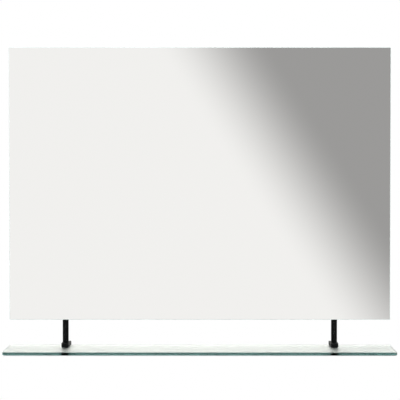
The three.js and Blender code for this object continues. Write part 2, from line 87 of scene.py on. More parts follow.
def calculate(tree, operation, first, second=0.0, third=0.0):
    """A sum done in nodes. Each of its values is a number or comes from a node."""
    node = add_node(tree, "ShaderNodeMath", operation=operation)
    for socket, value in zip(node.inputs, (first, second, third)):
        if isinstance(value, (int, float)):
            socket.default_value = value
        else:
            feed(tree, value, socket)
    return node.outputs[0]


def mix_shaders(tree, factor, first, second):
    node = add_node(tree, "ShaderNodeMixShader")
    feed(tree, factor, node.inputs[0])
    feed(tree, first, node.inputs[1])
    feed(tree, second, node.inputs[2])
    return node.outputs[0]


def room_plane(name, size, location, rotation, material):
    bpy.ops.object.select_all(action="DESELECT")
    bpy.ops.mesh.primitive_plane_add(size=1, location=location, rotation=rotation)
    plane = bpy.context.object
    plane.name = plane.data.name = name
    plane.scale = (*size, 1)
    bpy.ops.object.transform_apply(location=True, rotation=True, scale=True)
    plane.data.materials.append(material)


LEVEL, UPRIGHT = (0, 0, 0), (math.radians(90), 0, 0)
FLOOR_LEVEL = -1.45
WALL_HEIGHT, WALL_GAP = 5, 0.0006
REFLECTION_CARD_HEIGHT, REFLECTION_CARD_DISTANCE = 9, 5.8
FLOOR_GLOW = 0.75

# The wall: white to the camera, really lit and shaded where glass or mirror show it, and not
# there at all from behind or for the light, so that the back of the mirror is lit too.
wall_material, tree = new_material("white_wall")
path = add_node(tree, "ShaderNodeLightPath")
faces = add_node(tree, "ShaderNodeNewGeometry")
plaster = add_node(tree, "ShaderNodeBsdfDiffuse", {"Color": (0.93, 0.93, 0.925, 1)})
bright = add_node(tree, "ShaderNodeEmission", {"Color": WHITE, "Strength": 1.0})
open_air = add_node(tree, "ShaderNodeBsdfTransparent")
shown = mix_shaders(tree, path.outputs["Is Camera Ray"], plaster.outputs[0], bright.outputs[0])
sharp = calculate(
    tree, "MAXIMUM", path.outputs["Is Camera Ray"], path.outputs["Is Singular Ray"])
in_front = calculate(tree, "SUBTRACT", 1.0, faces.outputs["Backfacing"])
not_shadow = calculate(tree, "SUBTRACT", 1.0, path.outputs["Is Shadow Ray"])
seen = calculate(tree, "MULTIPLY", calculate(tree, "MULTIPLY", sharp, in_front), not_shadow)
feed(tree, mix_shaders(tree, seen, open_air.outputs[0], shown),
     tree.nodes["output"].inputs["Surface"])
room_plane("wall", (9, WALL_HEIGHT), (0, WALL_GAP, FLOOR_LEVEL + WALL_HEIGHT / 2), UPRIGHT,
           wall_material)

# The floor keeps the object's shadow, and isn't there when it is looked at from below.
floor_material, tree = new_material("pale_floor")
path = add_node(tree, "ShaderNodeLightPath")
faces = add_node(tree, "ShaderNodeNewGeometry")
screed = add_node(tree, "ShaderNodeBsdfDiffuse", {"Color": (0.9, 0.9, 0.895, 1)})
glow = add_node(tree, "ShaderNodeEmission", {"Color": WHITE, "Strength": 1.0})
open_air = add_node(tree, "ShaderNodeBsdfTransparent")
glowing = calculate(tree, "MULTIPLY", path.outputs["Is Camera Ray"], FLOOR_GLOW)
shown = mix_shaders(tree, glowing, screed.outputs[0], glow.outputs[0])
feed(tree, mix_shaders(tree, faces.outputs["Backfacing"], shown, open_air.outputs[0]),
     tree.nodes["output"].inputs["Surface"])
room_plane("floor", (16, 16), (0, 0, FLOOR_LEVEL), LEVEL, floor_material)

# A glowing card far in front, seen only in mirror and glass: its grey band is a painted
# reflection. It runs from upper left to lower right, as the mirror shows it, with a soft left side.
painted_reflection_card, tree = new_material("glowing_reflection_card")
place = add_node(tree, "ShaderNodeTexCoord")
axes = add_node(tree, "ShaderNodeSeparateXYZ")
feed(tree, place.outputs["Object"], axes.inputs[0])
BAND_LEAN, BAND_SPAN = 0.64, 5.0
leaning = calculate(tree, "MULTIPLY_ADD", axes.outputs["Z"], BAND_LEAN, axes.outputs["X"])
tones = add_node(tree, "ShaderNodeValToRGB")
feed(tree, calculate(tree, "DIVIDE", leaning, BAND_SPAN), tones.inputs[0])
ramp = tones.color_ramp
ramp.interpolation = "EASE"
# The grey band is a painted reflection, glowing on a card that only mirror and glass show.
pale, reflection_grey = (0.975, 0.962, 0.946, 1), (0.362, 0.355, 0.350, 1)
stops = [(0.0304, pale), (0.158, reflection_grey), (0.38, reflection_grey), (0.8, pale)]
while len(ramp.elements) < len(stops):
    ramp.elements.new(0.5)
for element, (position, color) in zip(ramp.elements, stops):
    element.position, element.color = position, color
painted_reflection_glow = add_node(tree, "ShaderNodeEmission")
feed(tree, tones.outputs[0], painted_reflection_glow.inputs["Color"])
open_air = add_node(tree, "ShaderNodeBsdfTransparent")
path = add_node(tree, "ShaderNodeLightPath")
not_shadow = calculate(tree, "SUBTRACT", 1.0, path.outputs["Is Shadow Ray"])
seen = calculate(tree, "MULTIPLY", path.outputs["Is Singular Ray"], not_shadow)
feed(tree, mix_shaders(tree, seen, open_air.outputs[0], painted_reflection_glow.outputs[0]),
     tree.nodes["output"].inputs["Surface"])
room_plane("painted_reflection_card", (15, REFLECTION_CARD_HEIGHT),
           (0, -REFLECTION_CARD_DISTANCE, FLOOR_LEVEL + REFLECTION_CARD_HEIGHT / 2), UPRIGHT, painted_reflection_card)

# ---- Light ----
# Even light from a pale room, darker straight ahead of the mirror, with two large soft lamps
# high at the front and a weaker one behind.
world = bpy.data.worlds.new("pale_room")
bpy.context.scene.world = world
world.use_nodes = True
tree = world.node_tree
tree.nodes.clear()
world_output = tree.nodes.new("ShaderNodeOutputWorld")
direction = add_node(tree, "ShaderNodeTexCoord")
axes = add_node(tree, "ShaderNodeSeparateXYZ")
feed(tree, direction.outputs["Generated"], axes.inputs[0])
ahead = add_node(tree, "ShaderNodeMapRange", {
    "From Min": -0.95, "From Max": -0.35, "To Min": 0.06, "To Max": 1.05},
    interpolation_type="SMOOTHSTEP")
feed(tree, axes.outputs["Y"], ahead.inputs["Value"])
above = add_node(tree, "ShaderNodeMapRange", {
    "From Min": -0.6, "From Max": 0.7, "To Min": 0.55, "To Max": 1.1},
    interpolation_type="SMOOTHSTEP")
feed(tree, axes.outputs["Z"], above.inputs["Value"])
gloss_level = calculate(tree, "MULTIPLY", ahead.outputs[0], above.outputs[0])
path = add_node(tree, "ShaderNodeLightPath")
rough_gloss = calculate(
    tree, "SUBTRACT", path.outputs["Is Glossy Ray"], path.outputs["Is Singular Ray"])
MATT_LEVEL, CLEAR_LEVEL, CAMERA_LEVEL = 0.62, 0.9, 1.0


def choose(tree, switch, when_off, when_on):
    change = calculate(tree, "SUBTRACT", when_on, when_off)
    return calculate(tree, "MULTIPLY_ADD", change, switch, when_off)


level = choose(tree, calculate(tree, "MAXIMUM", rough_gloss, 0.0), MATT_LEVEL, gloss_level)
level = choose(tree, path.outputs["Is Singular Ray"], level, CLEAR_LEVEL)
level = choose(tree, path.outputs["Is Camera Ray"], level, CAMERA_LEVEL)
sky = add_node(tree, "ShaderNodeBackground", {"Color": (1, 0.998, 0.992, 1)})
feed(tree, level, sky.inputs["Strength"])
feed(tree, sky.outputs[0], world_output.inputs["Surface"])
LIT_POINT = (0, 0, -0.1)


def soft_lamp(name, location, size, power, color=(1, 1, 1)):
    lamp_data = bpy.data.lights.new(name, "AREA")
    lamp_data.color = color
    lamp_data.shape = "RECTANGLE"
    lamp_data.size, lamp_data.size_y = size
    lamp_data.energy = power
    lamp = bpy.data.objects.new(name, lamp_data)
    lamp.location = location
    facing = Vector(LIT_POINT) - Vector(location)
    lamp.rotation_euler = facing.to_track_quat("-Z", "Y").to_euler()
    bpy.context.scene.collection.objects.link(lamp)


soft_lamp("lamp_left", (-1.7, -3.2, 1.9), (0.9, 0.9), 60)
soft_lamp("lamp_right", (1.7, -3.2, 1.9), (0.9, 0.9), 50)
soft_lamp("lamp_behind", (-0.2, 2.6, 1.7), (1.8, 1.4), 39, (1.0, 0.93, 0.85))

# ---- Mirror pane ----
# One pane of 5 mm float glass, 700 by 500 mm, silvered on the back. Its edges are ground and
# polished, with a narrow chamfer all round and corners that are only just broken.
MM = 0.001
NEAR = 0.02
CORNER_ROUND, CHAMFER = 1.2, 0.8
CHAMFER_SEGMENTS = 1


def box_of(node_name):
    """A node's lowest and highest corners at rest, in millimetres."""
    return tuple(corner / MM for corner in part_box(node_name))


def start_box(name, low, high):
    """A cube primitive set to a piece's corners, which are given in millimetres."""
    low, high = Vector(low) * MM, Vector(high) * MM
    bpy.ops.object.select_all(action="DESELECT")
    bpy.ops.mesh.primitive_cube_add(size=1, location=(low + high) / 2)
    piece = bpy.context.object
    piece.name = piece.data.name = name
    piece.scale = high - low
    bpy.ops.object.transform_apply(location=True, rotation=True, scale=True)
    return piece


def edit_with(piece, kind, test):
    """Opens a piece in edit mode with only those edges or faces selected that pass the test.
    An edge is tested by its two ends, a face by its centre and normal, all in millimetres."""
    bpy.ops.object.select_all(action="DESELECT")
    piece.select_set(True)
    bpy.context.view_layer.objects.active = piece
    bpy.ops.object.mode_set(mode="EDIT")
    bpy.ops.mesh.select_mode(type=kind)
    bpy.ops.mesh.select_all(action="DESELECT")
    mesh = bmesh.from_edit_mesh(piece.data)
    if kind == "EDGE":
        for edge in mesh.edges:
            edge.select_set(test(edge.verts[0].co / MM, edge.verts[1].co / MM))
    else:
        for face in mesh.faces:
            face.select_set(test(face.calc_center_median() / MM, face.normal))
    mesh.select_flush_mode()
    bmesh.update_edit_mesh(piece.data)


def bevel_edges(piece, width, segments, test, profile=0.5):
    edit_with(piece, "EDGE", test)
    bpy.ops.mesh.bevel(offset=width * MM, segments=segments, profile=profile, affect="EDGES")
    bpy.ops.object.mode_set(mode="OBJECT")


def at(value, *places):
    return any(abs(value - place) < NEAR for place in places)


def along(first, second, axis):
    """Whether an edge with these ends runs along X, Y or Z, which are 0, 1 and 2."""
    return all(at(first[other], second[other]) for other in range(3) if other != axis)


def smooth(piece, degrees=30):
    bpy.ops.object.select_all(action="DESELECT")
    piece.select_set(True)
    bpy.context.view_layer.objects.active = piece
    bpy.ops.object.shade_smooth_by_angle(angle=math.radians(degrees))


def dress(piece, body, slot, material, *nodes):
    """Gives a finished piece its material, its body and the nodes it stands for."""
    if material:
        piece.data.materials.clear()
        piece.data.materials.append(material)
    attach(piece, body)
    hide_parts(*nodes)


def principled(tree, **plain):
    """A Principled BSDF wired to the output, with its plain values set on its own sockets."""
    shader = add_node(tree, "ShaderNodeBsdfPrincipled")
    for key, value in plain.items():
        shader.inputs[key.replace("_", " ")].default_value = value
    feed(tree, shader.outputs[0], tree.nodes["output"].inputs["Surface"])
    return shader


def new_group(name, inputs, outputs):
    """A shader node group with named values in and out."""
    group = bpy.data.node_groups.new(name, "ShaderNodeTree")
    for socket, kind, default in inputs:
        item = group.interface.new_socket(socket, in_out="INPUT", socket_type=kind)
        item.default_value = default
    for socket, kind in outputs:
        group.interface.new_socket(socket, in_out="OUTPUT", socket_type=kind)
    return group, add_node(group, "NodeGroupInput"), add_node(group, "NodeGroupOutput")


def use_group(tree, group, **values):
    node = add_node(tree, "ShaderNodeGroup", node_tree=group)
    for key, value in values.items():
        node.inputs[key.replace("_", " ")].default_value = value
    return node


def mix_colors(tree, factor, first, second):
    """Mixes two colours, each of them plain or from a node, by a factor from a node. The
    colours are sockets 6 and 7 of the Mix node, and the result is its output 2."""
    node = add_node(tree, "ShaderNodeMix", data_type="RGBA")
    feed(tree, factor, node.inputs["Factor"])
    for socket, color in ((node.inputs[6], first), (node.inputs[7], second)):
        if isinstance(color, tuple):
            socket.default_value = color
        else:
            feed(tree, color, socket)
    return node.outputs[2]


FLOAT, COLOR, VECTOR = "NodeSocketFloat", "NodeSocketColor", "NodeSocketVector"

# Cloudy tone: two colours mixed by soft noise on the piece's own coordinates.
cloudy_tone, entry, result = new_group("cloudy_tone", [
    ("First", COLOR, WHITE), ("Second", COLOR, WHITE), ("Scale", FLOAT, 20.0),
    ("Detail", FLOAT, 3.0), ("Contrast", FLOAT, 0.5)], [("Color", COLOR), ("Cloud", FLOAT)])
place = add_node(cloudy_tone, "ShaderNodeTexCoord")
noise = add_node(cloudy_tone, "ShaderNodeTexNoise")
feed(cloudy_tone, place.outputs["Object"], noise.inputs["Vector"])
feed(cloudy_tone, entry.outputs["Scale"], noise.inputs["Scale"])
feed(cloudy_tone, entry.outputs["Detail"], noise.inputs["Detail"])
spread = add_node(cloudy_tone, "ShaderNodeMapRange", {"To Min": 0.0, "To Max": 1.0})
feed(cloudy_tone, noise.outputs["Fac"], spread.inputs["Value"])
for end, half, base in (("From Min", 0.5, 0.0), ("From Max", -0.5, 1.0)):
    feed(cloudy_tone, calculate(
        cloudy_tone, "MULTIPLY_ADD", entry.outputs["Contrast"], half, base), spread.inputs[end])
feed(cloudy_tone, mix_colors(cloudy_tone, spread.outputs[0], entry.outputs["First"],
                             entry.outputs["Second"]), result.inputs["Color"])
feed(cloudy_tone, spread.outputs[0], result.inputs["Cloud"])

silvering, tree = new_material("silvered_glass")
shader = principled(tree, Metallic=1.0, Roughness=0.0)
tint = use_group(tree, cloudy_tone, First=(0.9, 0.906, 0.902, 1), Second=(0.903, 0.908, 0.905, 1),
                 Scale=3.0, Detail=1.0)
feed(tree, tint.outputs["Color"], shader.inputs["Base Color"])

polished_edge, tree = new_material("polished_mirror_edge")
shader = principled(tree, Roughness=0.06, IOR=1.52)
tint = use_group(tree, cloudy_tone, First=(0.70, 0.81, 0.79, 1), Second=(0.75, 0.85, 0.83, 1),
                 Scale=12.0, Detail=2.0)
feed(tree, tint.outputs["Color"], shader.inputs["Base Color"])

back_paint, tree = new_material("mirror_back_paint")
shader = principled(tree, Roughness=0.55)
tint = use_group(tree, cloudy_tone, First=(0.22, 0.25, 0.26, 1), Second=(0.27, 0.3, 0.31, 1),
                 Scale=70.0, Detail=4.0)
feed(tree, tint.outputs["Color"], shader.inputs["Base Color"])

SILVERED, EDGE, PAINTED = 0, 1, 2
mirror_low, mirror_high = box_of("mirror_glass")
mirror = start_box("mirror_pane", mirror_low, mirror_high)
bevel_edges(mirror, CORNER_ROUND, 4, lambda a, b: along(a, b, 1))
bevel_edges(mirror, CHAMFER, CHAMFER_SEGMENTS,
            lambda a, b: at(a.y, b.y) and at(a.y, mirror_low.y, mirror_high.y))
for finish in (silvering, polished_edge, back_paint):
    mirror.data.materials.append(finish)
for face in mirror.data.polygons:
    if abs(face.normal.y) < 0.99:
        face.material_index = EDGE
    else:
        face.material_index = SILVERED if face.normal.y < 0 else PAINTED
smooth(mirror)
dress(mirror, "mirror_unit", "mirror", None, "mirror_glass")

# ---- Safety film and foam tape ----
# A grey-green film is laminated over the silvering, so that broken glass stays together. Four
# strips of closed-cell foam tape bond the pane to its frame.
def bump_from(tree, height, shader, strength, distance):
    """Roughens a shader's normal by a height that comes from nodes."""
    bump = add_node(tree, "ShaderNodeBump", {"Strength": strength, "Distance": distance})
    feed(tree, height, bump.inputs["Height"])
    feed(tree, bump.outputs["Normal"], shader.inputs["Normal"])


def spread_roughness(tree, value, shader, low, high):
    span = add_node(tree, "ShaderNodeMapRange", {"To Min": low, "To Max": high})
    feed(tree, value, span.inputs["Value"])
    feed(tree, span.outputs[0], shader.inputs["Roughness"])


def repaint(node_name, material):
    """Gives a CAD node whose shape is right its real finish."""
    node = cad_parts[node_name]
    node.data.materials.clear()
    node.data.materials.append(material)


# Fine grain: small bumps and a mottled mask, such as film, rubber and powder coat have.
fine_grain, entry, result = new_group("fine_grain", [
    ("Grain Size", FLOAT, 0.001), ("Coarse Share", FLOAT, 0.3)],
    [("Height", FLOAT), ("Mottle", FLOAT)])
place = add_node(fine_grain, "ShaderNodeTexCoord")
fine = add_node(fine_grain, "ShaderNodeTexNoise", {"Detail": 3.0, "Roughness": 0.6})
coarse = add_node(fine_grain, "ShaderNodeTexNoise", {"Detail": 2.0})
scale = calculate(fine_grain, "DIVIDE", 1.0, entry.outputs["Grain Size"])
for noise, share in ((fine, 1.0), (coarse, 0.12)):
    feed(fine_grain, place.outputs["Object"], noise.inputs["Vector"])
    feed(fine_grain, calculate(fine_grain, "MULTIPLY", scale, share), noise.inputs["Scale"])
height = choose(fine_grain, entry.outputs["Coarse Share"], fine.outputs["Fac"],
                coarse.outputs["Fac"])
feed(fine_grain, height, result.inputs["Height"])
feed(fine_grain, coarse.outputs["Fac"], result.inputs["Mottle"])

safety_film, tree = new_material("grey_green_safety_film")
shader = principled(tree)
tone = use_group(tree, cloudy_tone, First=(0.225, 0.262, 0.25, 1), Second=(0.285, 0.322, 0.305, 1),
                 Scale=9.0, Detail=4.0)
grain = use_group(tree, fine_grain, Grain_Size=0.0016, Coarse_Share=0.45)
feed(tree, tone.outputs["Color"], shader.inputs["Base Color"])
spread_roughness(tree, grain.outputs["Mottle"], shader, 0.42, 0.66)
bump_from(tree, grain.outputs["Height"], shader, 0.35, 0.0004)
repaint("mirror_safety_film", safety_film)

foam_tape, tree = new_material("closed_cell_foam")
shader = principled(tree, Roughness=0.95)
cells = add_node(tree, "ShaderNodeTexVoronoi", {"Scale": 2600.0})
place = add_node(tree, "ShaderNodeTexCoord")
feed(tree, place.outputs["Object"], cells.inputs["Vector"])
feed(tree, mix_colors(tree, cells.outputs["Distance"], (0.020, 0.020, 0.021, 1),
                      (0.055, 0.055, 0.058, 1)), shader.inputs["Base Color"])
bump_from(tree, cells.outputs["Distance"], shader, 0.6, 0.0004)
for side in ("top", "bottom", "left", "right"):
    repaint(f"bond_tape_{side}", foam_tape)

# ---- Recessed frame ----
# Four lengths of extruded aluminium channel, mitred at the corners and open towards the inside.
# Each has two shallow grooves along its outer face, as it comes from the die.
RAIL_WALL = 2.0
GROOVE_DEPTH, GROOVE_HALF = 0.5, 1.0
FINE_EDGE = 0.3
SQUARE_ON = 0.9


def slice_at(piece, point, normal, clear=False):
    """Cuts all of a piece's faces along a plane, and with clear takes away what is beyond it."""
    edit_with(piece, "FACE", lambda centre, facing: True)
    bpy.ops.mesh.bisect(plane_co=Vector(point) * MM, plane_no=normal,
                        use_fill=clear, clear_outer=clear)
    bpy.ops.object.mode_set(mode="OBJECT")


def grow(piece, move, test):
    """Extrudes the faces that pass the test by a vector in millimetres."""
    edit_with(piece, "FACE", test)
    bpy.ops.mesh.extrude_region_move(TRANSFORM_OT_translate={"value": Vector(move) * MM})
    bpy.ops.object.mode_set(mode="OBJECT")


def apply_all(piece):
    bpy.ops.object.select_all(action="DESELECT")
    piece.select_set(True)
    bpy.context.view_layer.objects.active = piece
    for modifier in list(piece.modifiers):
        bpy.ops.object.modifier_apply(modifier=modifier.name)


def break_edges(piece, width, segments=2, degrees=30):
    rounding = piece.modifiers.new("broken_edges", "BEVEL")
    rounding.width = width * MM
    rounding.segments = segments
    rounding.limit_method = "ANGLE"
    rounding.angle_limit = math.radians(degrees)
    apply_all(piece)


def mitred_channel(name, length, depth, flange):
    """A channel along X: its web outside at Z = 0, its flanges down, both ends mitred."""
    half = length / 2
    channel = start_box(name, (-half, 0, -RAIL_WALL), (half, depth, 0))
    grooves = (depth / 3, 2 * depth / 3)
    for y in (RAIL_WALL, depth - RAIL_WALL, grooves[0] - GROOVE_HALF, grooves[0] + GROOVE_HALF,
              grooves[1] - GROOVE_HALF, grooves[1] + GROOVE_HALF):
        slice_at(channel, (0, y, 0), (0, 1, 0))
    grow(channel, (0, 0, RAIL_WALL - flange), lambda centre, facing:
         facing.z < -SQUARE_ON and not RAIL_WALL < centre.y < depth - RAIL_WALL)
    grow(channel, (0, 0, -GROOVE_DEPTH), lambda centre, facing:
         facing.z > SQUARE_ON and any(abs(centre.y - groove) < GROOVE_HALF for groove in grooves))
    for end in (-1, 1):
        slice_at(channel, (end * half, 0, 0), (end, 0, -1), clear=True)
    break_edges(channel, FINE_EDGE)
    return channel


# Drawn lines: long faint streaks along the way a bar was drawn or a sheet was rolled.
drawn_lines, entry, result = new_group("drawn_lines", [
    ("Stretch", VECTOR, (40.0, 900.0, 900.0))], [("Lines", FLOAT), ("Smear", FLOAT)])
place = add_node(drawn_lines, "ShaderNodeTexCoord")
stretched = add_node(drawn_lines, "ShaderNodeVectorMath", operation="MULTIPLY")
lines = add_node(drawn_lines, "ShaderNodeTexNoise", {"Scale": 1.0, "Detail": 4.0})
smear = add_node(drawn_lines, "ShaderNodeTexNoise", {"Scale": 0.11, "Detail": 2.0})
feed(drawn_lines, place.outputs["Object"], stretched.inputs[0])
feed(drawn_lines, entry.outputs["Stretch"], stretched.inputs[1])
for noise, socket in ((lines, "Lines"), (smear, "Smear")):
    feed(drawn_lines, stretched.outputs[0], noise.inputs["Vector"])
    feed(drawn_lines, noise.outputs["Fac"], result.inputs[socket])


def drawn_metal(name, dark, light, stretch, low_roughness, high_roughness):
    metal, tree = new_material(name)
    shader = principled(tree, Metallic=1.0)
    streaks = use_group(tree, drawn_lines, Stretch=stretch)
    feed(tree, mix_colors(tree, streaks.outputs["Smear"], dark, light),
         shader.inputs["Base Color"])
    spread_roughness(tree, streaks.outputs["Lines"], shader, low_roughness, high_roughness)
    bump_from(tree, streaks.outputs["Lines"], shader, 0.35, 0.00006)
    return metal


dull_silver, bright_silver = (0.40, 0.41, 0.42, 1), (0.56, 0.565, 0.57, 1)
along_x = drawn_metal("aluminium_drawn_across", dull_silver, bright_silver,
                      (30, 1100, 1100), 0.26, 0.50)
along_z = drawn_metal("aluminium_drawn_upright", dull_silver, bright_silver,
                      (1100, 1100, 30), 0.26, 0.50)

top_low, top_high = box_of("rail_top")
bottom_low = box_of("rail_bottom")[0]
left_low, left_high = box_of("rail_left")
rail_depth, rail_flange = top_high.y - top_low.y, top_high.z - top_low.z
frame_width, frame_height = top_high.x - top_low.x, left_high.z - left_low.z
frame_middle = (left_high.z + left_low.z) / 2
rails = (
    ("top", frame_width, 0, (0, top_low.y, top_high.z), along_x),
    ("bottom", frame_width, 180, (0, top_low.y, bottom_low.z), along_x),
    ("left", frame_height, -90, (left_low.x, top_low.y, frame_middle), along_z),
    ("right", frame_height, 90, (-left_low.x, top_low.y, frame_middle), along_z),
)
for side, length, turn, corner, metal in rails:
    channel = mitred_channel(f"frame_channel_{side}", length, rail_depth, rail_flange)
    channel.data.transform(Matrix.Translation(Vector(corner) * MM)
                           @ Matrix.Rotation(math.radians(turn), 4, "Y"))
    smooth(channel)
    dress(channel, "mirror_unit", "aluminium", metal, f"rail_{side}")

# ---- Corner brackets ----
# An angle of 4 mm aluminium fits into each corner of the channels and holds the two lengths
# square. The lower two are tapped for the screws that carry the post sockets.
BRACKET_THICKNESS = 4.0
OUTER_ROUND, TIP_ROUND, SAWN_EDGE = 3, 4, 0.4
sawn_aluminium = drawn_metal("aluminium_angle", (0.36, 0.365, 0.37, 1), (0.52, 0.525, 0.53, 1),
                             (700, 60, 700), 0.32, 0.56)


def corner_angle(name, low, high, sign, up):
    """An angle whose outer corner points to the side that sign gives, and up or down."""
    corner_x, tip_x = (high.x, low.x) if sign > 0 else (low.x, high.x)
    corner_z, tip_z = (high.z, low.z) if up > 0 else (low.z, high.z)
    inner_x = corner_x - sign * BRACKET_THICKNESS
    inner_z = corner_z - up * BRACKET_THICKNESS
    bracket = start_box(name, (low.x, low.y, min(corner_z, inner_z)),
                        (high.x, high.y, max(corner_z, inner_z)))
    slice_at(bracket, (inner_x, 0, 0), (1, 0, 0))
    grow(bracket, (0, 0, tip_z - inner_z), lambda centre, facing:
         facing.z * up < -SQUARE_ON and (centre.x - inner_x) * sign > 0)
    bevel_edges(bracket, OUTER_ROUND, 4,
                lambda a, b: along(a, b, 1) and at(a.x, corner_x) and at(a.z, corner_z))
    bevel_edges(bracket, TIP_ROUND, 4, lambda a, b: (
        along(a, b, 2) and at(a.x, tip_x)) or (along(a, b, 0) and at(a.z, tip_z)))
    break_edges(bracket, SAWN_EDGE)
    smooth(bracket)
    return bracket


for level, up in (("top", 1), ("bottom", -1)):
    for side, sign in (("left", -1), ("right", 1)):
        node_name = f"corner_bracket_{level}_{side}"
        bracket = corner_angle(f"corner_angle_{level}_{side}", *box_of(node_name), sign, up)
        dress(bracket, "mirror_unit", "aluminium", sawn_aluminium, node_name)

# ---- Hanging plates ----
# Zinc-plated strips across the top corners, 2 mm thick, with rounded corners. The rounded slot
# takes the wall hook's lip, and each plate is held to the channel's flange by two screws.
PLATE_ROUND, SLOT_ROUND = 5, 2.5
SLOT_ROOF, SLOT_HEIGHT, SLOT_HALF = 19.0, 15.9, 19.0


def start_rod(name, radius, low, high, axis, sides=48):
    """A round bar along X, Y or Z between two points, with its size in millimetres."""
    low, high = Vector(low), Vector(high)
    bpy.ops.object.select_all(action="DESELECT")
    bpy.ops.mesh.primitive_cylinder_add(
        vertices=sides, radius=radius * MM, depth=(high - low).length * MM,
        location=(low + high) / 2 * MM,
        rotation={"X": (0, math.radians(90), 0), "Y": (math.radians(90), 0, 0),
                  "Z": (0, 0, 0)}[axis])
    rod = bpy.context.object
    rod.name = rod.data.name = name
    bpy.ops.object.transform_apply(location=True, rotation=True, scale=True)
    return rod


def combine(piece, other, operation="DIFFERENCE"):
    """Cuts another piece out of a piece or joins it on, and does away with the other one."""
    cut = piece.modifiers.new("combine", "BOOLEAN")
    cut.operation = operation
    cut.solver = "EXACT"
    cut.object = other
    apply_all(piece)
    bpy.data.objects.remove(other)


def mirrored(piece, name):
    """A copy of a finished piece on the other side of the middle, with its faces outwards."""
    other = bpy.data.objects.new(name, piece.data.copy())
    other.data.name = name
    bpy.context.scene.collection.objects.link(other)
    other.data.transform(Matrix.Scale(-1, 4, (1, 0, 0)))
    other.data.flip_normals()
    return other


def plated_steel(name, dark, light, scale):
    """Zinc plating: a cloudy, faintly blue bright metal with fine dull specks."""
    plating, tree = new_material(name)
    shader = principled(tree, Metallic=1.0)
    tone = use_group(tree, cloudy_tone, First=dark, Second=light, Scale=scale, Detail=5.0)
    grain = use_group(tree, fine_grain, Grain_Size=0.0007, Coarse_Share=0.5)
    feed(tree, tone.outputs["Color"], shader.inputs["Base Color"])
    spread_roughness(tree, grain.outputs["Mottle"], shader, 0.2, 0.46)
    bump_from(tree, grain.outputs["Height"], shader, 0.12, 0.0001)
    return plating


zinc = plated_steel("zinc_plated_steel", (0.38, 0.40, 0.425, 1), (0.56, 0.575, 0.575, 1), 120.0)

plate_low, plate_high = box_of("hanging_plate_left")
plate_x = (plate_low.x + plate_high.x) / 2
plate = start_box("hanger_left", plate_low, plate_high)
bevel_edges(plate, PLATE_ROUND, 6, lambda a, b: along(a, b, 1))
slot_high = top_low.z - SLOT_ROOF
slot = start_box("slot", (plate_x - SLOT_HALF, plate_low.y - 2, slot_high - SLOT_HEIGHT),
                 (plate_x + SLOT_HALF, plate_high.y + 2, slot_high))
bevel_edges(slot, SLOT_ROUND, 5, lambda a, b: along(a, b, 1))
combine(plate, slot)
break_edges(plate, FINE_EDGE)
smooth(plate)
other = mirrored(plate, "hanger_right")
dress(plate, "mirror_unit", "zinc_steel", zinc, "hanging_plate_left")
dress(other, "mirror_unit", "zinc_steel", zinc, "hanging_plate_right")

# ---- Wall hooks ----
# Bent from zinc-plated strip, 24 mm wide and 3 mm thick: a flat back with two holes on the wall
# and a lip that comes forward and up through the slot of the hanging plate.
HOOK_STRIP, HOOK_LIP, HOOK_BEND, HOOK_ROUND = 3.0, 8.0, 3.0, 4
HOOK_HOLE = 2.75
HOOK_HOLES_BELOW_TOP = (10, 32)


def bent_strip(name, width, start, moves, middle_x):
    """A strip that follows a bent path: one row of faces grown edge by edge, its bends rounded,
    and then given its thickness, half of it on each side of the path."""
    bpy.ops.object.select_all(action="DESELECT")
    bpy.ops.mesh.primitive_plane_add(size=1)
    strip = bpy.context.object
    strip.name = strip.data.name = name
    half, middle = Vector((width / 2, 0, 0)), Vector((middle_x, 0, 0))
    first = Vector(start) + middle
    end = first + Vector(moves[0])
    for vertex, corner in zip(strip.data.vertices, (first - half, first + half, end - half,
                                                    end + half)):
        vertex.co = corner * MM

    def crosses(a, b, place):
        return along(a, b, 0) and ((a + b) / 2 - place).length < NEAR

    bends = []
    for move in moves[1:]:
        bends.append(end.copy())
        edit_with(strip, "EDGE", lambda a, b: crosses(a, b, end))
        bpy.ops.mesh.extrude_region_move(TRANSFORM_OT_translate={"value": Vector(move) * MM})
        bpy.ops.object.mode_set(mode="OBJECT")
        end += Vector(move)
    edit_with(strip, "FACE", lambda centre, facing: True)
    bpy.ops.mesh.normals_make_consistent(inside=False)
    bpy.ops.object.mode_set(mode="OBJECT")
    bevel_edges(strip, HOOK_BEND, 5, lambda a, b: any(crosses(a, b, bend) for bend in bends))
    skin = strip.modifiers.new("thickness", "SOLIDIFY")
    skin.thickness = HOOK_STRIP * MM
    skin.offset = 0
    skin.use_even_offset = True
    apply_all(strip)
    return strip


hook_low, hook_high = box_of("wall_hook_left")
hook_x = (hook_low.x + hook_high.x) / 2
half_strip = HOOK_STRIP / 2
down = hook_low.z + half_strip - hook_high.z
hook = bent_strip("wall_hook_strip_left", hook_high.x - hook_low.x, (0, -half_strip, hook_high.z),
                  [(0, 0, down), (0, hook_low.y + HOOK_STRIP, 0), (0, 0, HOOK_LIP + half_strip)],
                  hook_x)
bevel_edges(hook, HOOK_ROUND, 5, lambda a, b: along(a, b, 1) and at(a.z, hook_high.z))
for below_top in HOOK_HOLES_BELOW_TOP:
    height = hook_high.z - below_top
    combine(hook, start_rod("hole", HOOK_HOLE, (hook_x, -6, height), (hook_x, 2, height), "Y", 32))
break_edges(hook, FINE_EDGE)
smooth(hook)
other = mirrored(hook, "wall_hook_strip_right")
hook_zinc = plated_steel("zinc_plated_strip", (0.25, 0.265, 0.28, 1), (0.40, 0.415, 0.42, 1), 60.0)
dress(hook, "wall_hooks", "zinc_steel", hook_zinc, "wall_hook_left")
dress(other, "wall_hooks", "zinc_steel", hook_zinc, "wall_hook_right")

# ---- Posts ----
# Round bars of 11 mm, coated near-black, with chamfered ends. They hang from the sockets behind
# the mirror's lower edge down to the clamps.
PALE_EDGE_FROM, PALE_EDGE_TO = 0.6, 0.74
DUST_AND_HIGHLIGHT_EDGE = (0.06, 0.06, 0.062, 1)
COARSE_EDGE = 0.5


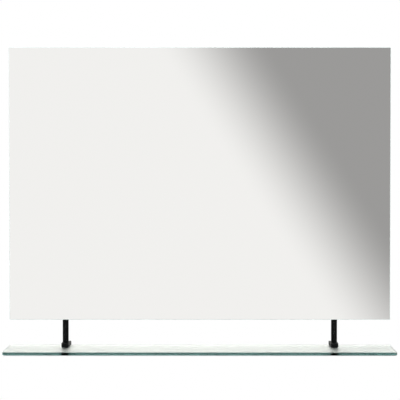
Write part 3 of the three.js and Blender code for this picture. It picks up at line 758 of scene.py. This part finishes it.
def black_finish(name, dark, light, low_roughness, high_roughness, grain_size, bump, specular):
    """Near-black, with a faint grain that shows only in its gloss, and edges lightened partly by
    dust and partly by a painted highlight.
    """
    coat, tree = new_material(name)
    shader = principled(tree, Specular_IOR_Level=specular)
    tone = use_group(tree, cloudy_tone, First=dark, Second=light, Scale=90.0, Detail=4.0)
    grain = use_group(tree, fine_grain, Grain_Size=grain_size, Coarse_Share=0.3)
    geometry = add_node(tree, "ShaderNodeNewGeometry")
    edge = add_node(tree, "ShaderNodeMapRange", {"From Min": PALE_EDGE_FROM, "From Max": PALE_EDGE_TO})
    feed(tree, geometry.outputs["Pointiness"], edge.inputs["Value"])
    # Convex edges are lightened: partly dust, partly a painted highlight that gives the black its
    # shape.
    dust_and_highlight = calculate(tree, "MULTIPLY", edge.outputs[0], tone.outputs["Cloud"])
    feed(tree, mix_colors(tree, dust_and_highlight, tone.outputs["Color"], DUST_AND_HIGHLIGHT_EDGE),
         shader.inputs["Base Color"])
    spread_roughness(tree, grain.outputs["Mottle"], shader, low_roughness, high_roughness)
    bump_from(tree, grain.outputs["Height"], shader, bump, 0.0002)
    return coat


black_coat = black_finish("black_powder_coat", (0.0045, 0.0045, 0.0047, 1),
                          (0.0085, 0.0085, 0.0087, 1), 0.38, 0.5, 0.0007, 0.14, 0.05)
black_oxide = black_finish("black_oxide_steel", (0.012, 0.012, 0.013, 1),
                           (0.026, 0.026, 0.028, 1), 0.32, 0.5, 0.0004, 0.12, 0.5)

post_low, post_high = box_of("post_left")
post_x, post_y = (post_low.x + post_high.x) / 2, (post_low.y + post_high.y) / 2
post_radius = (post_high.x - post_low.x) / 2
post = start_rod("post_bar_left", post_radius, (post_x, post_y, post_low.z),
                 (post_x, post_y, post_high.z), "Z", sides=72)
break_edges(post, COARSE_EDGE)
smooth(post)
other = mirrored(post, "post_bar_right")
dress(post, "mirror_unit", "black_coat", black_coat, "post_left")
dress(other, "mirror_unit", "black_coat", black_coat, "post_right")

# ---- Post sockets ----
# Black castings under the frame: a flange with two screws, a rib under it and a rounded block,
# bored for the post, with a grub screw at the back.
FLANGE, BLOCK_HALF, BLOCK_DEPTH, BLOCK_ROUND = 4.0, 10.5, 20.0, 3
RIB_HALF, RIB_SHORT, RIB_DROP, RIB_SLOPE = 2, 4, 14, 12.4
BORE_ROOM, GRUB_HOLE, FLANGE_HOLE = 0.15, 3.15, 2.65
socket_low, socket_high = box_of("post_socket_left")
flange_bottom = socket_high.z - FLANGE
block_back = socket_low.y + BLOCK_DEPTH
rib_tip, rib_bottom = socket_high.y - RIB_SHORT, flange_bottom - RIB_DROP
casting = start_box("socket_casting_left", (socket_low.x, socket_low.y, flange_bottom), socket_high)
bevel_edges(casting, BLOCK_ROUND, 5, lambda a, b: along(a, b, 2))
block = start_box("block", (post_x - BLOCK_HALF, socket_low.y, socket_low.z),
                  (post_x + BLOCK_HALF, block_back, flange_bottom + 1))
bevel_edges(block, BLOCK_ROUND, 5, lambda a, b: along(a, b, 2))
combine(casting, block, "UNION")
rib = start_box("rib", (post_x - RIB_HALF, block_back - 1, rib_bottom),
                (post_x + RIB_HALF, rib_tip, flange_bottom + 1))
bevel_edges(rib, RIB_SLOPE, 1,
            lambda a, b: along(a, b, 0) and at(a.y, rib_tip) and at(a.z, rib_bottom))
combine(casting, rib, "UNION")
break_edges(casting, COARSE_EDGE, degrees=35)
combine(casting, start_rod("bore", post_radius + BORE_ROOM, (post_x, post_y, socket_low.z - 5),
                           (post_x, post_y, post_high.z + 0.1), "Z", sides=72))
grub_low, grub_high = box_of("socket_grub_screw_left")
grub_z = (grub_low.z + grub_high.z) / 2
combine(casting, start_rod("grub_hole", GRUB_HOLE, (post_x, post_y, grub_z),
                           (post_x, grub_high.y + 2, grub_z), "Y", sides=40))
for step in (1, 2):
    low, high = box_of(f"socket_screw_left_{step}")
    middle = (low + high) / 2
    combine(casting, start_rod("screw_hole", FLANGE_HOLE, (middle.x, middle.y, flange_bottom - 1),
                               (middle.x, middle.y, socket_high.z + 1), "Z", sides=32))
smooth(casting)
other = mirrored(casting, "socket_casting_right")
dress(casting, "mirror_unit", "black_coat", black_coat, "post_socket_left")
dress(other, "mirror_unit", "black_coat", black_coat, "post_socket_right")

# ---- Glass clamps ----
# Black C-shaped castings: the jaw is level under the post and falls towards the spine, and the
# lip under the glass is thin and short. Bored for the post's screw, the clamp screw and its pad.
JAW_FRONT, JAW_REAR, SPINE = 7.3, 5.4, 4.8
LIP_ROOT, LIP_TIP, LIP_REACH = 3.2, 2.0, 18.0
NOSE_ROUND, BACK_ROUND, INNER_ROUND, CAST_EDGE = 2.2, 3, 0.6, 0.9
SCREW_BACK, SCREW_BORE, PAD_BORE, PAD_RECESS = 11.0, 2.65, 4.7, 1.6
clamp_low, clamp_high = box_of("glass_clamp_left")
glass_low, glass_high = box_of("glass_shelf")
jaw_bottom = clamp_high.z - JAW_FRONT
jaw_rear_top = jaw_bottom + JAW_REAR
lip_top = clamp_low.z + LIP_ROOT
spine_front = clamp_high.y - SPINE
fall_from = post_high.y + 0.3
lip_front = glass_high.y - LIP_REACH
screw_y = glass_high.y - SCREW_BACK


def shift_edge(piece, move, test):
    edit_with(piece, "EDGE", test)
    bpy.ops.transform.translate(value=Vector(move) * MM)
    bpy.ops.object.mode_set(mode="OBJECT")


clamp = start_box("clamp_casting_left", (clamp_low.x, spine_front, clamp_low.z),
                  (clamp_high.x, clamp_high.y, jaw_rear_top))
for height in (lip_top, jaw_bottom):
    slice_at(clamp, (0, 0, height), (0, 0, 1))
grow(clamp, (0, fall_from - spine_front, 0),
     lambda centre, facing: facing.y < -SQUARE_ON and centre.z > jaw_bottom)
shift_edge(clamp, (0, 0, clamp_high.z - jaw_rear_top),
           lambda a, b: along(a, b, 0) and at(a.y, fall_from) and at(a.z, jaw_rear_top))
grow(clamp, (0, clamp_low.y - fall_from, 0),
     lambda centre, facing: facing.y < -SQUARE_ON and centre.z > jaw_bottom)
grow(clamp, (0, lip_front - spine_front, 0),
     lambda centre, facing: facing.y < -SQUARE_ON and centre.z < lip_top)
shift_edge(clamp, (0, 0, LIP_ROOT - LIP_TIP),
           lambda a, b: along(a, b, 0) and at(a.y, lip_front) and at(a.z, clamp_low.z))
bevel_edges(clamp, NOSE_ROUND, 6,
            lambda a, b: along(a, b, 0) and at(a.y, clamp_low.y) and at(a.z, clamp_high.z))
bevel_edges(clamp, BACK_ROUND, 6, lambda a, b: along(a, b, 0) and at(a.y, clamp_high.y))
bevel_edges(clamp, INNER_ROUND, 3, lambda a, b:
            along(a, b, 0) and at(a.y, spine_front) and at(a.z, lip_top, jaw_bottom))
break_edges(clamp, CAST_EDGE, 4, 40)
for radius, y, top in ((SCREW_BORE, post_y, clamp_high.z + 1),
                       (SCREW_BORE, screw_y, clamp_high.z + 1),
                       (PAD_BORE, screw_y, jaw_bottom + PAD_RECESS)):
    combine(clamp, start_rod("bore", radius, (post_x, y, jaw_bottom - 1), (post_x, y, top), "Z",
                             sides=40))
smooth(clamp, 35)
other = mirrored(clamp, "clamp_casting_right")
dress(clamp, "mirror_unit", "black_coat", black_coat, "glass_clamp_left")
dress(other, "mirror_unit", "black_coat", black_coat, "glass_clamp_right")

# ---- Rubber in the clamps ----
# A liner under each jaw, an L-shaped seat on each lip and behind the glass, a dished pad under
# each clamp screw and a disc between each clamp and the wall. The rubber sinks a little into
# the faces of the glass that it bears on, so that no air is left between them.
GLASS_ROOM, PRESS = 0.3, 0.35
LINER_ROUND, SEAT_ROUND, RUBBER_EDGE = 1, 0.5, 0.12


def turned(name, steps, start, heading, sides=48, key=None):
    """A turned piece: a disc drawn out step by step. Each step is a radius and its distance from
    the start. With a key it also gets a hexagon socket of that radius and depth."""
    bpy.ops.object.select_all(action="DESELECT")
    bpy.ops.mesh.primitive_circle_add(
        vertices=sides, radius=steps[0][0] * MM, fill_type="NGON")
    piece = bpy.context.object
    piece.name = piece.data.name = name
    bpy.ops.object.mode_set(mode="EDIT")
    bpy.ops.mesh.select_all(action="SELECT")
    for (radius, place), (next_radius, next_place) in zip(steps, steps[1:]):
        bpy.ops.mesh.extrude_region_move(
            TRANSFORM_OT_translate={"value": (0, 0, (next_place - place) * MM)})
        wider = next_radius / radius
        bpy.ops.transform.resize(value=(wider, wider, 1), center_override=(0, 0, 0))
    bpy.ops.mesh.select_all(action="SELECT")
    bpy.ops.mesh.normals_make_consistent(inside=False)
    bpy.ops.object.mode_set(mode="OBJECT")
    if key:
        combine(piece, start_rod("key", key[0], (0, 0, -1), (0, 0, key[1]), "Z", 6))
    turn = Vector((0, 0, 1)).rotation_difference(Vector(heading)).to_matrix().to_4x4()
    piece.data.transform(Matrix.Translation(Vector(start) * MM) @ turn)
    smooth(piece, 35)
    return piece


def pair(piece, right_name, body, slot, material, left_node):
    """Dresses a left piece and its copy on the right, whose node has the same name but right."""
    other = mirrored(piece, right_name)
    side_body = body.replace("left", "right")
    dress(piece, body, slot, material, left_node)
    dress(other, side_body, slot, material, left_node.replace("left", "right"))


# Rubber: near-black and matt, with pale dust in its grain.
rubber, tree = new_material("moulded_rubber")
shader = principled(tree, Specular_IOR_Level=0.35)
tone = use_group(tree, cloudy_tone, First=(0.008, 0.008, 0.0085, 1),
                 Second=(0.019, 0.019, 0.0195, 1), Scale=420.0, Detail=4.0)
grain = use_group(tree, fine_grain, Grain_Size=0.0005, Coarse_Share=0.4)
feed(tree, tone.outputs["Color"], shader.inputs["Base Color"])
spread_roughness(tree, grain.outputs["Mottle"], shader, 0.62, 0.85)
bump_from(tree, grain.outputs["Height"], shader, 0.3, 0.0002)

liner_low, liner_high = box_of("jaw_liner_left")
liner = start_box("jaw_liner_rubber_left", liner_low - Vector((0, 0, PRESS)), liner_high)
bevel_edges(liner, LINER_ROUND, 4, lambda a, b: along(a, b, 2))
break_edges(liner, RUBBER_EDGE, degrees=40)
smooth(liner)
pair(liner, "jaw_liner_rubber_right", "mirror_unit", "rubber", rubber, "jaw_liner_left")

seat_low, seat_high = box_of("glass_seat_left")
seat_top, seat_wall = glass_low.z - GLASS_ROOM + PRESS, glass_high.y + GLASS_ROOM
seat = start_box("glass_seat_rubber_left", seat_low, (seat_high.x, seat_high.y, seat_top))
slice_at(seat, (0, seat_wall, 0), (0, 1, 0))
grow(seat, (0, 0, seat_high.z - seat_top),
     lambda centre, facing: facing.z > SQUARE_ON and centre.y > seat_wall)
bevel_edges(seat, SEAT_ROUND, 3,
            lambda a, b: along(a, b, 0) and at(a.y, seat_high.y) and at(a.z, seat_low.z))
break_edges(seat, RUBBER_EDGE, degrees=40)
smooth(seat)
pair(seat, "glass_seat_rubber_right", "mirror_unit", "rubber", rubber, "glass_seat_left")

pad_low, pad_high = box_of("pressure_pad_left")
pad_radius, pad_height = (pad_high.x - pad_low.x) / 2, pad_high.z - pad_low.z
pad = turned("pressure_pad_left_rubber", (
    (pad_radius - 0.5, 0), (pad_radius - 0.2, 0.08), (pad_radius, 0.35),
    (pad_radius, pad_height - 0.2), (pad_radius - 0.2, pad_height), (2.5, pad_height),
    (0.8, pad_height - 0.35)), (post_x, screw_y, pad_low.z), (0, 0, 1))
pair(pad, "pressure_pad_right_rubber", "pad_left", "rubber", rubber, "pressure_pad_left")

bumper_low, bumper_high = box_of("wall_bumper_left")
bumper_radius = (bumper_high.x - bumper_low.x) / 2
bumper_middle = (bumper_low + bumper_high) / 2
bumper = turned("wall_bumper_rubber_left", (
    (bumper_radius - 0.8, 0), (bumper_radius - 0.3, 0.12), (bumper_radius, 0.5),
    (bumper_radius, bumper_high.y - bumper_low.y)),
    (bumper_middle.x, bumper_high.y, bumper_middle.z), (0, -1, 0))
pair(bumper, "wall_bumper_rubber_right", "mirror_unit", "rubber", rubber, "wall_bumper_left")

# ---- Screws ----
# Cheese-headed screws in the hanging plates and the socket flanges, countersunk ones up into the
# posts, and headless ones in the sockets and the clamps. All have a hexagon socket.
KEY_RADIUS, KEY_DEPTH = 1.45, 2.0


def screw_from(name, steps, start, heading):
    return turned(name, steps, start, heading, sides=40, key=(KEY_RADIUS, KEY_DEPTH))


def cap_screw(name, start, heading, shank, head, head_height, length):
    """A cheese-headed screw: the radius of its shank, and its head's radius and height."""
    return screw_from(name, (
        (head - 0.6, 0), (head - 0.25, 0.08), (head, 0.4), (head, head_height),
        (shank, head_height), (shank, head_height + length - 0.5),
        (shank - 0.5, head_height + length)), start, heading)


def headless_screw(name, start, heading, radius, length):
    return screw_from(name, (
        (radius - 0.3, 0), (radius, 0.3), (radius, length - 0.8), (radius - 0.8, length)),
        start, heading)


for step in (1, 2):
    low, high = box_of(f"hanging_plate_screw_left_{step}")
    middle = (low + high) / 2
    screw = cap_screw(f"hanger_screw_left_{step}", (middle.x, high.y, middle.z), (0, -1, 0),
                      shank=2.0, head=3.8, head_height=2.4, length=7.0)
    pair(screw, f"hanger_screw_right_{step}", "mirror_unit", "zinc_steel", zinc,
         f"hanging_plate_screw_left_{step}")
    low, high = box_of(f"socket_screw_left_{step}")
    middle = (low + high) / 2
    screw = cap_screw(f"flange_screw_left_{step}", (middle.x, middle.y, low.z), (0, 0, 1),
                      shank=2.5, head=4.4, head_height=3.0, length=12.0)
    pair(screw, f"flange_screw_right_{step}", "mirror_unit", "zinc_steel", zinc,
         f"socket_screw_left_{step}")

low, high = box_of("post_screw_left")
length = high.z - low.z
screw = screw_from("countersunk_screw_left", (
    (4.1, 0), (4.3, 0.15), (2.35, 2.3), (2.35, length - 0.4), (1.95, length)),
    (post_x, post_y, low.z), (0, 0, 1))
pair(screw, "countersunk_screw_right", "mirror_unit", "zinc_steel", zinc, "post_screw_left")

screw = headless_screw("grub_screw_left", (post_x, grub_high.y, grub_z), (0, -1, 0),
                       radius=3.0, length=grub_high.y - grub_low.y)
pair(screw, "grub_screw_right", "mirror_unit", "black_oxide", black_oxide,
     "socket_grub_screw_left")

low, high = box_of("clamp_screw_left")
screw = headless_screw("clamp_screw_left_oxide", (post_x, screw_y, high.z), (0, 0, -1),
                       radius=2.5, length=high.z - low.z)
pair(screw, "clamp_screw_right_oxide", "screw_left", "black_oxide", black_oxide,
     "clamp_screw_left")

# ---- Glass shelf ----
# Clear 6 mm float glass, 712 by 120 mm, with rounded front corners and a light satin on its flat
# faces. Its clear polished edges look dark green because light reaches them through the whole
# depth of the pane.
GLASS_HAZE, HAZE_SPREAD = 0.28, 0.04
FLAT_FROM, FLAT_TO, STEEP_BELOW = 0.5, 0.6, 0.7
FRONT_ROUND, REAR_ROUND = 8, 2
clear_glass, tree = new_material("clear_shelf_glass")
shader = principled(
    tree, Base_Color=(1.0, 0.96, 0.94, 1), Specular_Tint=(0.12, 0.12, 0.12, 1), Roughness=0.0,
    IOR=1.52, Transmission_Weight=1.0)
geometry = add_node(tree, "ShaderNodeNewGeometry")
facing = add_node(tree, "ShaderNodeSeparateXYZ")
feed(tree, geometry.outputs["True Normal"], facing.inputs[0])
flat = add_node(tree, "ShaderNodeMapRange", {"From Min": FLAT_FROM, "From Max": FLAT_TO})
feed(tree, calculate(tree, "ABSOLUTE", facing.outputs["Z"]), flat.inputs["Value"])
outside = calculate(tree, "SUBTRACT", 1.0, geometry.outputs["Backfacing"])
glancing = add_node(tree, "ShaderNodeLayerWeight", {"Blend": 0.5})
steep = calculate(tree, "LESS_THAN", glancing.outputs["Facing"], STEEP_BELOW)
hazy = use_group(tree, cloudy_tone, Scale=14.0, Detail=3.0)
haze = calculate(tree, "MULTIPLY_ADD", hazy.outputs["Cloud"], HAZE_SPREAD, GLASS_HAZE)
satin = calculate(tree, "MULTIPLY", flat.outputs[0], calculate(tree, "MAXIMUM", outside, steep))
feed(tree, calculate(tree, "MULTIPLY", satin, haze), shader.inputs["Roughness"])
ray = add_node(tree, "ShaderNodeLightPath")
thin_shadow = add_node(tree, "ShaderNodeBsdfTransparent", {"Color": (0.93, 0.97, 0.955, 1)})
feed(tree, mix_shaders(tree, ray.outputs["Is Shadow Ray"], shader.outputs[0],
                       thin_shadow.outputs[0]), tree.nodes["output"].inputs["Surface"])
absorption = add_node(
    tree, "ShaderNodeVolumeAbsorption", {"Color": (0.14, 0.445, 0.43, 1), "Density": 21.0})
feed(tree, absorption.outputs[0], tree.nodes["output"].inputs["Volume"])

shelf = start_box("shelf_pane", glass_low, glass_high)
bevel_edges(shelf, FRONT_ROUND, 10, lambda a, b: along(a, b, 2) and at(a.y, glass_low.y))
bevel_edges(shelf, REAR_ROUND, 5, lambda a, b: along(a, b, 2) and at(a.y, glass_high.y))
bevel_edges(shelf, CHAMFER, CHAMFER_SEGMENTS,
            lambda a, b: at(a.z, b.z) and at(a.z, glass_low.z, glass_high.z))
smooth(shelf)
dress(shelf, "shelf", "clear_glass", clear_glass, "glass_shelf")

# ---- The end of the script ----
bpy.ops.object.select_all(action="DESELECT")
